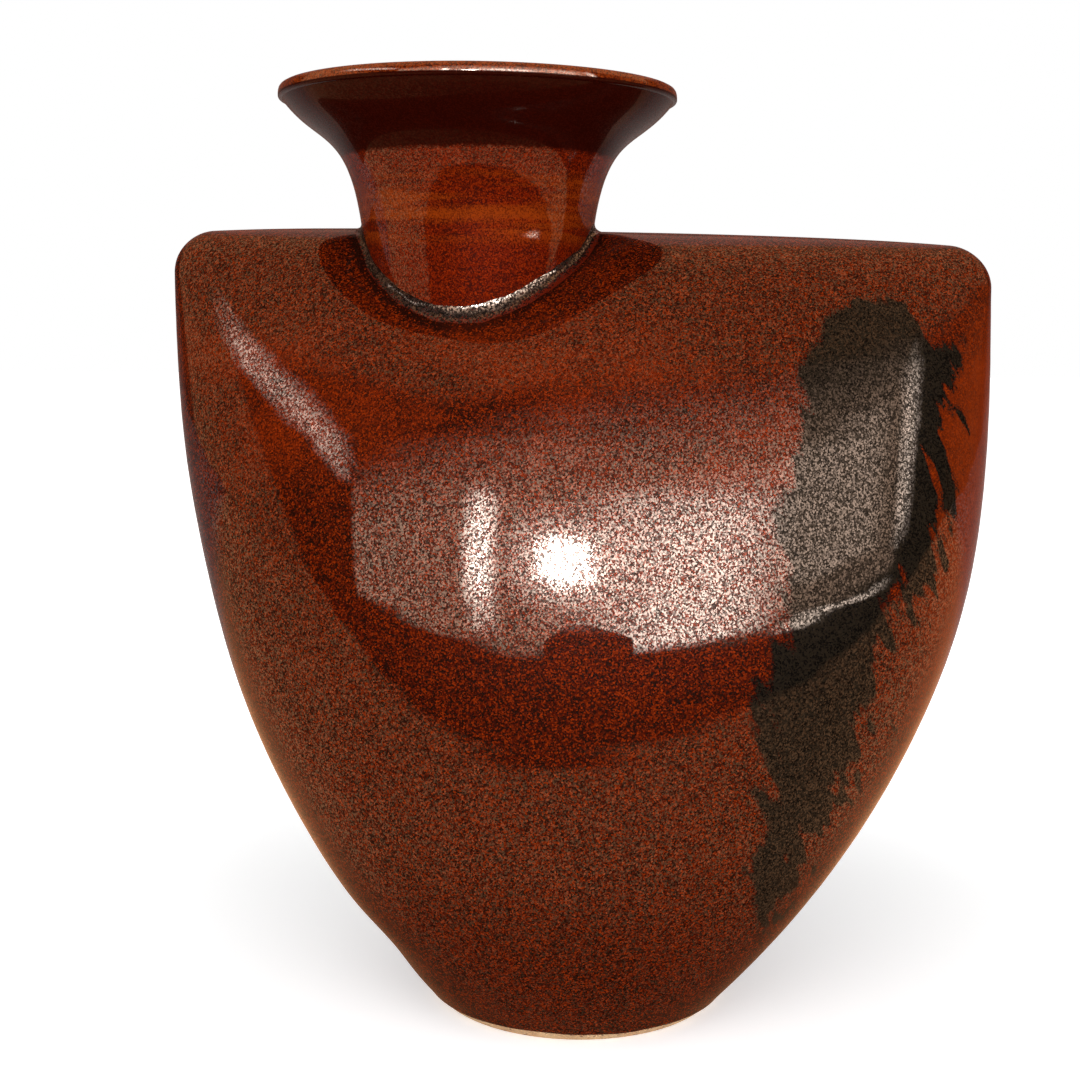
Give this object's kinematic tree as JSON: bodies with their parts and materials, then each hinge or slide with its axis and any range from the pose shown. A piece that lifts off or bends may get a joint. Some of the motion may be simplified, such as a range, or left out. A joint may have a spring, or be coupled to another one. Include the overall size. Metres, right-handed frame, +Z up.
{
  "type": "sake bottle",
  "caption": "Thrown stoneware sake bottle, round at the foot and pinched to a straight ridge, with a flared pouring neck set off-centre on the shoulder.",
  "frame": {"origin": "on the ground under the middle of the shoulders, at the middle of the body's depth", "axes": "+Z up through the foot, +X along the ridge away from the neck, front towards -Y"},
  "size_m": [0.1437, 0.076, 0.16],
  "materials": {
    "iron_red_glaze": "glossy speckled iron-red glaze",
    "dark_glaze": "dark pooled glaze, finely pitted",
    "bare_stoneware": "unglazed fired stoneware"
  },
  "bodies": {
    "root": {"body_wall": "iron_red_glaze", "base_disc": "bare_stoneware", "neck": "iron_red_glaze", "luting_coil": "dark_glaze"}
  },
  "joints": []
}
